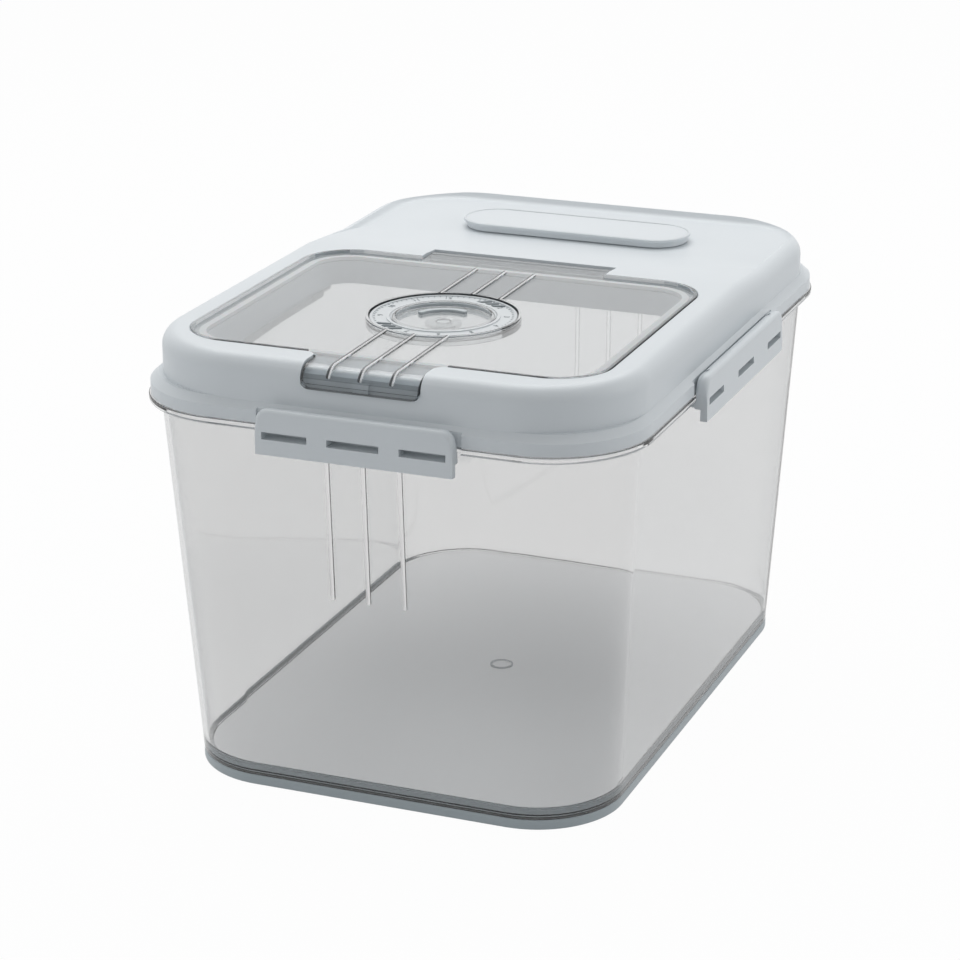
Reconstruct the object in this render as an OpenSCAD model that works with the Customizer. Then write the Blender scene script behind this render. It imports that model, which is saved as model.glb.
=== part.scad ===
// Rice bin with a flip lid: a clear tapered tub on a base tray, a lift-off lid held
// by four latches, a clear pour flap with a date dial, and a desiccant box.
// Millimetres. Origin: centre of the base's underside. +Z up, the flap opens at -Y.

/* [Tub] */
// Width of the tub's flange, left to right
rim_w = 253; // [220:1:300]
// Length of the tub's flange, front to back
rim_l = 355; // [320:1:420]
// Corner radius of the flange
rim_r = 50; // [44:1:60]
// Height of the flange's underside above the ground
rim_z = 190.4; // [150:1:260]
// Thickness of the flange
rim_t = 3; // [2.6:0.1:4]
// How far the flange stands out from the tub's wall
rim_out = 6; // [5.5:0.1:8]
// Wall thickness of the tub
wall_t = 2.2; // [1.6:0.1:3]
// Thickness of the tub's floor
floor_t = 2.6; // [2:0.1:4]
// Height of the lip above the flange that meets the seal
lip_h = 2.8; // [2:0.1:4]
// How much narrower the tub is at its foot, on each side
taper = 10.6; // [6:0.1:16]
// Spacing of the three grip ribs on the front and back walls
rib_pitch = 18.4; // [14:0.2:22]
// Radius of a grip rib
rib_r = 1.2; // [0.8:0.1:1.6]
// Length of the grip ribs below the flange
rib_l = 84; // [50:1:120]

/* [Base] */
// Height of the base tray
base_h = 5; // [4:0.1:9]
// Thickness of the base tray's plate
base_t = 2.4; // [1.6:0.1:3]
// Width of the tray's outer rim
base_rim = 7; // [4:0.5:12]

/* [Lid] */
// Inset of the lid's skirt from the flange's edge
skirt_in = 1; // [0.6:0.1:1.6]
// Thickness of the skirt
skirt_t = 2.3; // [2:0.1:3]
// Height of the skirt, up to its shoulder
skirt_h = 5.9; // [5.5:0.1:8]
// Height of the sloped ledge between the skirt and the deck's wall
ledge_h = 3.2; // [2.4:0.1:5]
// Inset of the deck's wall from the flange's edge
deck_in = 4.6; // [4:0.1:6]
// Height of the deck above the ledge, round the flap
deck_h = 20.9; // [18:0.1:30]
// Corner radius of the deck
deck_r = 53; // [48:1:60]
// Radius of the deck's upper edge
deck_edge_r = 8; // [5:0.5:10]
// Thickness of the deck and its wall
deck_t = 2.4; // [2:0.1:3]
// Drop of the rear border below the deck round the flap
rear_drop = 3.5; // [2:0.1:5]
// Depth of the rear field below its border
field_depth = 2.7; // [1.5:0.1:4]
// Width of the rear border
border_w = 12; // [8:0.5:18]
// Depth that the plug wall reaches below the ledge, inside the tub
plug_depth = 11; // [8:0.5:16]
// Thickness of the plug wall
plug_t = 2; // [1.6:0.1:3]

/* [Flap] */
// Inset of the flap's sides from the flange's edge
side_border = 20.4; // [18:0.2:34]
// Inset of the flap's front edge from the flange's edge
front_border = 24.4; // [22:0.2:34]
// Distance of the flap's rear edge behind the centre
flap_rear = 19.6; // [10:0.5:30]
// Corner radius of the flap
flap_r = 25.9; // [15:0.5:35]
// Thickness of the flap's plate
flap_t = 2.4; // [2:0.1:3]
// How far the flap's top lies below the deck
flap_sink = 1.1; // [0.5:0.1:2]
// Gap round the flap
flap_gap = 0.5; // [0.4:0.1:0.8]
// Gap behind the flap's rear edge, which rises as the flap opens
flap_rear_gap = 0.9; // [0.9:0.1:1.5]
// Width of the hinge tab at the flap's rear
hinge_tab_w = 99.4; // [60:0.5:130]
// How far the hinge tab reaches behind the flap's rear edge
hinge_tab_l = 16.2; // [12:0.2:20]
// Radius of the hinge barrel
barrel_r = 3.3; // [2.8:0.1:3.6]
// Radius of the steel hinge rod
rod_r = 1.5; // [1:0.1:1.8]
// Width of the front tab that is lifted with a finger
pull_w = 59; // [40:1:80]
// Radius of the front tab's bend over the deck's edge
pull_bend_r = 9; // [7:0.5:11]
// Height of the front tab from the flap's top to its lower edge
pull_h = 10.2; // [9:0.2:13]
// Spacing of the three half-round ribs on the flap
flap_rib_pitch = 15.8; // [12:0.2:20]
// Radius of a flap rib
flap_rib_r = 1.3; // [0.8:0.1:1.6]
// Width of the border that rests over the seal
flap_border = 8.5; // [7:0.5:12]
// Depth of the pour opening's collar below its ledge
collar_depth = 12; // [8:0.5:18]

/* [Date dial] */
// Distance of the dial's centre in front of the bin's centre
dial_front = 72.8; // [65:0.2:85]
// Radius of the dial ring
dial_r = 35.9; // [28:0.1:40]
// Inner radius of the dial ring
dial_in_r = 25; // [18:0.1:27]
// Thickness of the dial ring
dial_t = 2.7; // [2:0.1:3.2]
// Radius of the stem under the dial's centre disc
stem_r = 4; // [3:0.1:5]

/* [Desiccant box] */
// Inset of the box's centre from the flange's rear edge
box_inset = 62.9; // [58:0.2:68]
// Length of the cap's plate, left to right
cap_l = 127.4; // [100:0.2:150]
// Width of the cap's plate, front to back
cap_w = 36.8; // [30:0.2:42]
// Thickness of the cap's plate
cap_t = 1.5; // [1.2:0.1:2]
// Height of the cap's neck above the field
neck_h = 3; // [2:0.1:4]
// Inset of the neck from the cap's edge
neck_in = 1.6; // [1:0.1:3]
// Depth of the slotted case below the field
case_depth = 19; // [14:0.5:22]
// Wall thickness of the case
case_t = 1.5; // [1.2:0.1:2]

/* [Latches] */
// Length of the front and back latches
latch_l = 98.6; // [80:0.2:110]
// Length of the left and right latches
latch_side_l = 126; // [100:0.2:150]
// How far a latch's face stands out from the flange's edge
latch_out = 5; // [4.6:0.1:6]
// Thickness of a latch
latch_t = 6.4; // [6.2:0.1:7]
// Height of a latch's top above the flange's underside
latch_up = 12.2; // [11:0.1:14]
// Height of a latch's lower edge below the flange's underside
latch_down = 9.8; // [8:0.1:14]
// Thickness of the finger lip
latch_lip_t = 3.5; // [2.5:0.1:4.5]
// Height of the three slots
slot_h = 3.6; // [2.5:0.1:4]
// Length of the middle slot and the hook behind it
slot_mid_l = 26; // [15:0.5:30]
// Length of the outer slots and the hooks behind them
slot_l = 23; // [15:0.5:26]
// Radius of the latch's steel pin
pin_r = 1; // [0.8:0.1:1.1]
// How far a hook reaches under the flange
hook_reach = 1.1; // [0.8:0.1:1.3]

/* [Fits] */
// Radial clearance of a pin or stem in its bore
bore_gap = 0.05; // [0.03:0.01:0.08]
// Gap between pieces that move past each other
run_gap = 0.3; // [0.25:0.05:0.4]

/* [Hidden] */
$fn = 64;
eps = 0.01;

// Colours
smoke = [0.80, 0.81, 0.82, 0.45];
pale_grey = [0.82, 0.85, 0.87];
base_grey = [0.58, 0.61, 0.63];
silicone = [0.90, 0.91, 0.91, 0.8];
steel = [0.75, 0.76, 0.78];
white = [0.95, 0.95, 0.95];

// Heights of the tub
floor_z = base_h + 1.4;
foot_t = 4;
lip_out = 0.6;
rim_top = rim_z + rim_t;
lip_top = rim_top + lip_h;

// Heights of the lid
skirt_z = rim_top + run_gap;
shoulder_z = skirt_z + skirt_h;
crease_z = shoulder_z + ledge_h;
deck_z = crease_z + deck_h;
border_z = deck_z - rear_drop;
field_z = border_z - field_depth;
field_t = 3;
seal_roof_z = shoulder_z;
plug_in = rim_out + wall_t + run_gap;
slope_start = 26;
slope_end = 70;
ramp_start = 31.5;
ramp_end = 88;
field_slope = 5;
field_r = 34;

// Flap, its seal, ledge and hinge
flap_w = rim_w - 2 * side_border;
flap_front = rim_l / 2 - front_border;
flap_z = deck_z - flap_sink;
flap_under = flap_z - flap_t;
seal_h = 1.8;
ledge_z = flap_under - seal_h - run_gap;
ledge_t = 2.2;
collar_t = 2;
seal_w = 3.4;
hinge_y = flap_rear + hinge_tab_l - barrel_r;
hinge_z = flap_z - barrel_r;
notch_rear = flap_rear + hinge_tab_l + run_gap;
notch_lean = 1.3;
boss_l = 6;
rod_l = hinge_tab_w + 2 * (flap_gap + boss_l) - 3;
pull_face = rim_l / 2 - deck_in + 1.4;
pull_t = 2.2;
pull_foot_z = flap_z - pull_h;
pull_wall = 3;
pull_room_d = 4.4;
pull_room_h = 5.4;
catch_w = 8;
catch_out = 1.2;

// Dial
cup_r = dial_r + 0.7;
cup_t = 1.3;
cup_floor_z = flap_z - dial_t - run_gap;
disc_lip = 1.1;
disc_lip_t = 0.8;
disc_wall = 1.3;
disc_floor_z = cup_floor_z + run_gap;
disc_floor_t = 1;
retainer_r = 9;
retainer_t = 1.2;
retainer_z = cup_floor_z - cup_t - run_gap - retainer_t;

// Desiccant box
box_rear = rim_l / 2 - box_inset;
case_l = cap_l - 2 * neck_in - 14;
case_w = cap_w - 2 * neck_in - 8.6;
case_flange = 2.4;
case_flange_t = 1.4;
case_slots = 12;
case_slot_w = 2.4;

// Latches, in a frame of their own: y = 0 is the flange's edge, +y points outwards
latch_back = latch_out - latch_t;
pivot_y = latch_out - latch_t / 2;
pivot_z = rim_z + latch_up - latch_t / 2;
latch_foot_z = rim_z - latch_down;
step_z = rim_z - 4;
slot_z = rim_z - 2.3;
latch_corner_r = 6;
lug_r = pin_r + 1.1;
lug_w = 3;
lug_inset = 12;
lug_arm_t = 1.9;
pocket_d = 9;
pocket_h = pivot_z - skirt_z + 1.3;
latch_open = 128;
pin_stop = 3;
slot_end = 3.3;
zone_gap = 2;
skirt_pocket = 1.9;
rim_notch = 2.9;
hook_tip = rim_notch + hook_reach;
hook_top_z = rim_z - 0.55;
hook_root_t = 1.7;
SIDES = [
    // name, turn, distance of the flange's edge, latch length, slot offset, open end
    ["front", 180, rim_l / 2, latch_l, (latch_l - slot_l) / 2 - slot_end, 1],
    ["back", 0, rim_l / 2, latch_l, (latch_l - slot_l) / 2 - slot_end, 1],
    ["left", 90, rim_w / 2, latch_side_l, (latch_side_l - slot_l) / 2 - slot_end, 1],
    ["right", -90, rim_w / 2, latch_side_l, (latch_side_l - slot_l) / 2 - slot_end, -1]];

// ---- Outlines -----------------------------------------------------------------

// The flange's outline moved inwards by d
module outline(d, r = rim_r) {
    rounded([rim_w - 2 * d, rim_l - 2 * d], max(r - d, 4));
}

module rounded(size, r) {
    square([size[0] - 2 * r, size[1]], center = true);
    square([size[0], size[1] - 2 * r], center = true);
    for (sx = [-1, 1], sy = [-1, 1])
        translate([sx * (size[0] / 2 - r), sy * (size[1] / 2 - r)]) circle(r);
}

module slab(z, t, d) {
    translate([0, 0, z]) linear_extrude(t) outline(d);
}

// A block whose outline has rounded corners of radius r. The section's outer edge is
// given as [inset, z] points, from the bottom to the top.
module block(w, l, r, edge) {
    last = len(edge) - 1;
    span = function (half) concat([for (q = edge) [half - q[0], q[1]]],
        [for (i = [last:-1:0]) [edge[i][0] - half, edge[i][1]]]);
    along_x(w - 2 * r) polygon(span(l / 2));
    rotate(90) along_x(l - 2 * r) polygon(span(w / 2));
    for (c = [[1, 1, 0], [-1, 1, 90], [-1, -1, 180], [1, -1, 270]])
        translate([c[0] * (w / 2 - r), c[1] * (l / 2 - r), 0]) rotate(c[2])
            rotate_extrude(angle = 90) polygon(concat([[0, edge[0][1]]],
                [for (q = edge) [r - q[0], q[1]]], [[0, edge[last][1]]]));
}

// The same, with insets from the flange's edge
module rim_block(edge) {
    block(rim_w, rim_l, rim_r, edge);
}

// The flap's outline grown by d, and by rear_d at its rear
module flap_outline(d, rear_d) {
    rear = flap_rear + (is_undef(rear_d) ? d : rear_d);
    front = flap_front + d;
    translate([0, (rear - front) / 2]) rounded([flap_w + 2 * d, front + rear], flap_r + d);
}

module pill(l, w) {
    square([l - w, w], center = true);
    for (s = [-1, 1]) translate([s * (l - w) / 2, 0]) circle(w / 2);
}

// A profile drawn as [y, z] and run along x over the length l
module along_x(l) {
    rotate([90, 0, 90]) linear_extrude(l, center = true) children();
}

function arc(c, r, a0, a1, n = 10) =
    [for (i = [0:n]) let (a = a0 + (a1 - a0) * i / n) c + r * [cos(a), sin(a)]];

// ---- Base and tub -------------------------------------------------------------

module base_tray() {
    color(base_grey) difference() {
        linear_extrude(base_h) tub_outline(base_h, 0);
        translate([0, 0, base_t]) linear_extrude(base_h) tub_outline(base_h, base_rim);
    }
}

// The wall's inset from the flange's edge at a height
function inset_at(z) = rim_out + taper * (rim_z - z) / (rim_z - base_h);

// The tub's outline at a height, inset by d: its corners keep one radius
module tub_outline(z, d) {
    inset = inset_at(z) + d;
    rounded([rim_w - 2 * inset, rim_l - 2 * inset], rim_r - rim_out - d);
}

module tub_shell(d, z0, top) {
    hull() for (z = [z0, top - eps])
        translate([0, 0, z]) linear_extrude(eps) tub_outline(z, d);
}

module tub() {
    rib_lean = atan2(taper, rim_z - base_h);
    color(smoke) {
        difference() {
            union() {
                tub_shell(0, base_h, rim_z + rim_t / 2);
                slab(rim_z, rim_t, 0);
                slab(rim_z + rim_t / 2, rim_t / 2 + lip_h, rim_out - lip_out);
                for (side = [0, 180], i = [-1:1])
                    rotate(side) translate([i * rib_pitch, rim_out - rim_l / 2, rim_z])
                        rotate([180 - rib_lean, 0, 0]) cylinder(rib_l, rib_r, rib_r, $fn = 24);
            }
            tub_shell(wall_t, floor_z + floor_t, lip_top + 1);
            translate([0, 0, base_h - 1]) linear_extrude(floor_z - base_h + 1)
                tub_outline(base_h, foot_t);
            for (s = SIDES) at_side(s) rim_relief(s[3]);
        }
    }
}

// ---- Latch zones --------------------------------------------------------------

module at_side(s) {
    rotate(s[1]) translate([0, s[2], 0]) children();
}

// The flange is cut back behind a latch, and its lower edge is bevelled for the hooks
module rim_relief(l) {
    bevel = hook_reach + 0.1;
    along_x(l + 2 * zone_gap) polygon([[1, rim_z - 1], [-rim_notch - bevel, rim_z - 1],
        [-rim_notch - bevel, rim_z], [-rim_notch, rim_z + 0.75 * rim_t],
        [-rim_notch, rim_top + 0.1], [1, rim_top + 0.1]]);
}

// ---- Lid ----------------------------------------------------------------------

// The deck's outside: wall, rounded upper edge
module deck_form(d, top, z0) {
    r = deck_edge_r - d;
    block(rim_w - 2 * deck_in, rim_l - 2 * deck_in, deck_r, concat([[d, z0]],
        [for (a = [0:15:90]) [d + r * (1 - cos(a)), top - r + r * sin(a)]]));
}

// Space above the deck's rear, where it slopes down to the border
module rear_cut() {
    along_x(rim_w) polygon([[slope_start, deck_z], [slope_end, border_z],
        [rim_l, border_z], [rim_l, deck_z + 9], [slope_start, deck_z + 9]]);
}

// The rear field, with sloped sides and a ramp at its front
module field_cut() {
    rear = rim_l / 2 - deck_in - border_w + field_slope;
    w = rim_w - 2 * (deck_in + border_w - field_slope);
    intersection() {
        translate([0, rear / 2, 0]) block(w, rear, field_r,
            [[field_slope, field_z], [0, border_z], [0, deck_z + 1]]);
        along_x(rim_w) polygon([[ramp_start, deck_z], [ramp_end, field_z], [rim_l, field_z - 1],
            [rim_l, deck_z + 2], [ramp_start, deck_z + 2]]);
    }
}

// The skirt, ledge and plug wall, with the channel for the tub's lip and the seal
module lid_rim() {
    plug_z = crease_z - plug_depth;
    difference() {
        union() {
            rim_block([[skirt_in, skirt_z], [skirt_in, shoulder_z], [deck_in, crease_z]]);
            slab(plug_z, crease_z - plug_z - 1, plug_in);
        }
        difference() {
            slab(skirt_z - 1, seal_roof_z - skirt_z + 1, skirt_in + skirt_t);
            slab(skirt_z - 2, seal_roof_z - skirt_z + 4, plug_in);
        }
        slab(plug_z - 1, plug_depth + 9, plug_in + plug_t);
        for (s = SIDES) at_side(s) skirt_relief(s[3]);
    }
}

module skirt_relief(l) {
    along_x(l + 2 * zone_gap) polygon([[1, skirt_z - 1], [-skirt_pocket, skirt_z - 1],
        [-skirt_pocket, shoulder_z + 1], [1, shoulder_z + 1]]);
}

// A J-shaped lug: out from the skirt's lower edge and up to the latch's pin
module lug() {
    arm_top = skirt_z + lug_arm_t;
    along_x(lug_w) {
        translate([pivot_y, pivot_z]) circle(lug_r);
        translate([pivot_y - lug_r, skirt_z]) square([2 * lug_r, pivot_z - skirt_z]);
        translate([-skirt_pocket - 1, skirt_z]) square([pivot_y + skirt_pocket + 1, arm_top - skirt_z]);
    }
}

module lugs(l) {
    for (s = [-1, 1]) translate([s * (l / 2 - lug_inset), 0, 0]) lug();
}

// Room for the flap in the deck: the plate, the hinge tab and the front tab
module flap_room() {
    translate([0, 0, ledge_z]) linear_extrude(deck_h) flap_outline(flap_gap, flap_rear_gap);
    translate([0, 0, ledge_z]) linear_extrude(deck_h)
        translate([-hinge_tab_w / 2 - flap_gap, 0])
            square([hinge_tab_w + 2 * flap_gap, notch_rear]);
    // the notch's rear leans back, for the flap at its full opening
    along_x(hinge_tab_w + 2 * flap_gap) polygon([[hinge_y, hinge_z], [notch_rear, hinge_z],
        [notch_rear + notch_lean, deck_z + 1], [hinge_y, deck_z + 1]]);
}

module hinge_trough(grow) {
    floor_gap = run_gap + 0.1;
    w = hinge_tab_w + 2 * flap_gap + 2 * grow;
    translate([-w / 2, flap_rear - 2 - grow, hinge_z - barrel_r - floor_gap - grow])
        cube([w, notch_rear + 2 - flap_rear + 2 * grow, barrel_r * 2 + grow]);
}

// The front tab's section, from the plate round the bend to the finger lip
module pull_profile(d) {
    r = pull_bend_r;
    c = [-pull_face + r, flap_z - r];
    start = -flap_front + 6;
    polygon(concat([[start, flap_z + d]], arc(c, r + d, 90, 180),
        [[-pull_face - d, pull_foot_z - d], [-pull_face + pull_t + d, pull_foot_z - d]],
        arc(c, r - pull_t - d, 180, 90), [[start, flap_z - pull_t - d]]));
}

// The whole space that the front tab needs, cut out of the deck's front edge
module pull_room() {
    w = pull_w + 2 * flap_gap;
    foot = pull_foot_z - flap_gap;
    shelf = flap_z - pull_room_h;
    along_x(w) polygon([[-rim_l, foot], [-pull_face + pull_room_d, foot],
        [-pull_face + pull_room_d, shelf], [-flap_front + 4, shelf],
        [-flap_front + 4, flap_z + 9], [-rim_l, flap_z + 9]]);
}

module outer_lid() {
    front_half = slope_start + 8;
    color(pale_grey) difference() {
        union() {
            difference() {
                deck_form(0, deck_z, crease_z - 1);
                rear_cut();
                field_cut();
                // hollow, lower under the rear field
                difference() {
                    deck_form(deck_t, deck_z - deck_t, crease_z - 2);
                    translate([-rim_w / 2, front_half, field_z - field_t])
                        cube([rim_w, rim_l / 2, deck_h]);
                }
            }
            lid_rim();
            for (s = SIDES) at_side(s) lugs(s[3]);
            // ledge and collar of the pour opening
            translate([0, 0, ledge_z - ledge_t]) linear_extrude(ledge_t + flap_z - ledge_z)
                flap_outline(flap_gap + collar_t);
            translate([0, 0, ledge_z - collar_depth]) linear_extrude(collar_depth)
                flap_outline(-flap_border + collar_t);
            intersection() {
                hinge_trough(2);
                translate([-rim_w / 2, -rim_l / 2, 0]) cube([rim_w, rim_l, deck_z - 1]);
            }
            for (s = [-1, 1])
                translate([s * (hinge_tab_w / 2 + flap_gap + boss_l / 2), hinge_y, hinge_z])
                    rotate([0, 90, 0]) cylinder(boss_l, barrel_r, barrel_r, center = true);
            // closed wall behind the front tab
            translate([-pull_w / 2 - pull_wall, -pull_face + pull_wall, pull_foot_z - pull_wall])
                cube([pull_w + 2 * pull_wall, pull_face - flap_front + collar_t,
                    flap_z - pull_foot_z]);
            // seat round the desiccant case
            translate([0, box_rear, field_z - field_t - 1]) linear_extrude(field_t)
                pill(case_l + 12, case_w + 12);
        }
        flap_room();
        hinge_trough(0);
        pull_room();
        // the pour opening itself
        translate([0, 0, crease_z - 5]) linear_extrude(2 * deck_h) flap_outline(-flap_border);
        translate([0, hinge_y, hinge_z]) rotate([0, 90, 0])
            cylinder(rod_l + 1, rod_r + bore_gap, rod_r + bore_gap, center = true);
        // mouth and rebate for the desiccant case
        translate([0, box_rear, crease_z]) linear_extrude(deck_h)
            pill(case_l + 2 * run_gap, case_w + 2 * run_gap);
        translate([0, box_rear, field_z - case_flange_t]) linear_extrude(deck_h)
            pill(case_l + 2 * case_flange + 2 * run_gap, case_w + 2 * case_flange + 2 * run_gap);
        for (s = SIDES) at_side(s) translate([0, pivot_y, pivot_z]) rotate([0, 90, 0])
            cylinder(s[3], pin_r + bore_gap, pin_r + bore_gap, center = true, $fn = 32);
    }
    // catch block behind the front tab
    color(pale_grey) translate([-catch_w / 2, -pull_face + pull_room_d - catch_out, pull_foot_z + 0.6])
        cube([catch_w, catch_out + 1, 4]);
}

module lid_seal() {
    out_d = skirt_in + skirt_t + run_gap;
    in_d = rim_out + wall_t + run_gap / 2;
    z0 = lip_top + run_gap;
    color(silicone) difference() {
        slab(z0, seal_roof_z - z0, out_d);
        slab(z0 - 1, seal_roof_z - z0 + 2, in_d);
        for (s = SIDES) at_side(s) skirt_relief(0);
    }
}

// ---- Flap ---------------------------------------------------------------------

module flap_rib(y0, y1) {
    for (i = [-1:1]) translate([i * flap_rib_pitch, y0, flap_z - 0.3])
        rotate([-90, 0, 0]) cylinder(y1 - y0, flap_rib_r, flap_rib_r, $fn = 24);
}

module flap() {
    boss_h = cup_floor_z - cup_t;
    color(smoke) difference() {
        union() {
            translate([0, 0, flap_under]) linear_extrude(flap_t) {
                flap_outline(0);
                translate([-hinge_tab_w / 2, 0]) square([hinge_tab_w, hinge_y]);
            }
            translate([0, hinge_y, hinge_z]) rotate([0, 90, 0])
                cylinder(hinge_tab_w, barrel_r, barrel_r, center = true);
            along_x(pull_w) pull_profile(0);
            along_x(pull_w) translate([-pull_face - 0.6, pull_foot_z]) square([2.8, 3]);
            flap_rib(-flap_front - 4, -dial_front - cup_r);
            flap_rib(-dial_front + cup_r, 9);
            translate([0, -dial_front, boss_h]) cylinder(flap_z + 0.4 - boss_h, r = cup_r + cup_t);
        }
        translate([0, -dial_front, cup_floor_z]) cylinder(30, r = cup_r);
        translate([0, -dial_front, 0]) cylinder(deck_z, r = stem_r + bore_gap);
        translate([0, hinge_y, hinge_z]) rotate([0, 90, 0])
            cylinder(hinge_tab_w + 2, rod_r + bore_gap, rod_r + bore_gap, center = true);
    }
}

module flap_seal() {
    out_d = -(flap_border - collar_t - seal_w) - 1;
    color(silicone) translate([0, 0, flap_under - seal_h]) linear_extrude(seal_h) difference() {
        flap_outline(out_d);
        flap_outline(out_d - seal_w);
    }
}

module flap_hinge_rod() {
    color(steel) translate([0, hinge_y, hinge_z]) rotate([0, 90, 0])
        cylinder(rod_l, rod_r, rod_r, center = true);
}

// ---- Dial ---------------------------------------------------------------------

module at_dial(z) {
    translate([0, -dial_front, z]) children();
}

module dial_ring() {
    color(white) at_dial(cup_floor_z + run_gap) difference() {
        cylinder(dial_t, r = dial_r);
        translate([0, 0, -1]) cylinder(dial_t + 2, r = dial_in_r);
        translate([0, 0, dial_t - disc_lip_t - run_gap])
            cylinder(9, r = dial_in_r + disc_lip + run_gap / 2);
    }
}

module dial_disc() {
    r = dial_in_r - run_gap;
    lip_z = cup_floor_z + run_gap + dial_t - disc_lip_t;
    floor_top = disc_floor_z + disc_floor_t;
    grip_r = 0.62 * dial_in_r;
    color(smoke) difference() {
        union() {
            at_dial(disc_floor_z) cylinder(lip_z + disc_lip_t - disc_floor_z, r = r);
            at_dial(lip_z) cylinder(disc_lip_t, r = dial_in_r + disc_lip - run_gap / 2);
            at_dial(retainer_z - 1) cylinder(disc_floor_z - retainer_z + 1.5, r = stem_r);
        }
        at_dial(floor_top) cylinder(9, r = r - disc_wall);
        at_dial(retainer_z - run_gap / 2) difference() {
            cylinder(retainer_t + run_gap, r = stem_r + 1);
            translate([0, 0, -1]) cylinder(retainer_t + 3, r = stem_r - 0.8);
        }
    }
    // raised finger arc on the disc's floor
    color(smoke) at_dial(floor_top) rotate(45) rotate_extrude(angle = 90)
        translate([grip_r - 1, -0.2]) square([2, 1.4]);
}

module dial_retainer() {
    color(white) at_dial(retainer_z) difference() {
        cylinder(retainer_t, r = retainer_r);
        translate([0, 0, -1]) cylinder(retainer_t + 2, r = stem_r - 0.8 + bore_gap);
        translate([-stem_r * 0.6, 0, -1]) cube([stem_r * 1.2, retainer_r + 1, retainer_t + 2]);
    }
}

// ---- Desiccant box ------------------------------------------------------------

module at_box(z) {
    translate([0, box_rear, z]) children();
}

module desiccant_case() {
    pitch = (case_l - case_w) / (case_slots - 1);
    slot_low = field_z - case_depth + 4;
    color(pale_grey) difference() {
        union() {
            at_box(field_z - case_flange_t) linear_extrude(case_flange_t)
                pill(case_l + 2 * case_flange, case_w + 2 * case_flange);
            at_box(field_z - case_depth) linear_extrude(case_depth) pill(case_l, case_w);
        }
        at_box(field_z - case_depth + case_t) linear_extrude(case_depth)
            pill(case_l - 2 * case_t, case_w - 2 * case_t);
        for (i = [0:case_slots - 1])
            translate([(i - (case_slots - 1) / 2) * pitch - case_slot_w / 2, box_rear - case_w, slot_low])
                cube([case_slot_w, 2 * case_w, 8]);
    }
}

module desiccant_cap() {
    neck_z = field_z + run_gap;
    plate_z = field_z + neck_h + run_gap;
    plug_l = case_l - 2 * case_t - 2 * run_gap;
    plug_w = case_w - 2 * case_t - 2 * run_gap;
    color(pale_grey) difference() {
        union() {
            at_box(plate_z) linear_extrude(cap_t) pill(cap_l, cap_w);
            at_box(neck_z) linear_extrude(neck_h) pill(cap_l - 2 * neck_in, cap_w - 2 * neck_in);
            at_box(field_z - 3) linear_extrude(neck_h + 3.2) pill(plug_l, plug_w);
        }
        at_box(field_z - 4) linear_extrude(neck_h + 4) pill(plug_l - 3, plug_w - 3);
        at_box(field_z - 1) linear_extrude(neck_h + 1) difference() {
            pill(cap_l - 2 * neck_in - 3.2, cap_w - 2 * neck_in - 3.2);
            pill(plug_l, plug_w);
        }
    }
}

// ---- Latches ------------------------------------------------------------------

// Outer and inner faces, round top about the pin, step down to the finger lip
module latch_profile() {
    r = latch_t / 2;
    polygon(concat([[latch_out, latch_foot_z]], arc([pivot_y, pivot_z], r, 0, 180, 20),
        [[latch_back, step_z], [latch_out - latch_lip_t, step_z],
        [latch_out - latch_lip_t, latch_foot_z]]));
}

module hook_profile() {
    root_top = step_z + hook_root_t;
    polygon([[latch_back + 1, step_z], [-hook_tip + 0.3, step_z], [-hook_tip, hook_top_z],
        [-hook_tip + 0.5, hook_top_z], [latch_back, root_top + 0.6], [latch_back + 1, root_top]]);
}

// Corners of the latch's face, rounded at the top
module latch_face(l) {
    r = latch_corner_r;
    h = latch_up + latch_down;
    translate([0, latch_foot_z]) {
        translate([-l / 2, 0]) square([l, h - r]);
        translate([-l / 2 + r, 0]) square([l - 2 * r, h]);
        for (s = [-1, 1]) translate([s * (l / 2 - r), h - r]) circle(r);
    }
}

module latch(s) {
    l = s[3];
    slots = [[0, slot_mid_l], [-s[4], slot_l], [s[4], slot_l]];
    reach = lug_r + run_gap;
    color(pale_grey) at_side(s) difference() {
        union() {
            intersection() {
                along_x(l) latch_profile();
                translate([0, 3 * latch_t, 0]) rotate([90, 0, 0]) linear_extrude(6 * latch_t)
                    latch_face(l);
            }
            for (p = slots) translate([p[0], 0, 0]) along_x(p[1] - 2) hook_profile();
        }
        for (p = slots) translate([p[0] - p[1] / 2, latch_back - eps, slot_z])
            cube([p[1], latch_t + 1, slot_h]);
        // bore for the pin, open at one end
        translate([-s[5] * pin_stop, pivot_y, pivot_z]) rotate([0, 90, 0])
            cylinder(l, pin_r + bore_gap, pin_r + bore_gap, center = true, $fn = 32);
        // pockets for the lid's lugs, open at the back
        for (e = [-1, 1]) translate([e * (l / 2 - lug_inset), 0, 0]) along_x(lug_w + 2 * run_gap) {
            translate([pivot_y, pivot_z]) circle(reach);
            translate([pivot_y - pocket_d, pivot_z - pocket_h]) square([pocket_d + reach, pocket_h]);
            translate([pivot_y - pocket_d, pivot_z]) square([pocket_d, reach]);
            translate([pivot_y, pivot_z]) rotate(180 - latch_open)
                translate([-reach, 0]) square([2 * reach, pocket_d]);
        }
    }
}

module latch_pin(s) {
    l = s[3] - 2 * pin_stop - 2 * run_gap;
    color(steel) at_side(s) translate([0, pivot_y, pivot_z]) rotate([0, 90, 0])
        cylinder(l, pin_r, pin_r, center = true, $fn = 32);
}

base_tray();
tub();
outer_lid();
lid_seal();
flap();
flap_seal();
flap_hinge_rod();
dial_ring();
dial_disc();
dial_retainer();
desiccant_case();
desiccant_cap();
for (s = SIDES) {
    latch(s);
    latch_pin(s);
}
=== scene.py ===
import math

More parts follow.
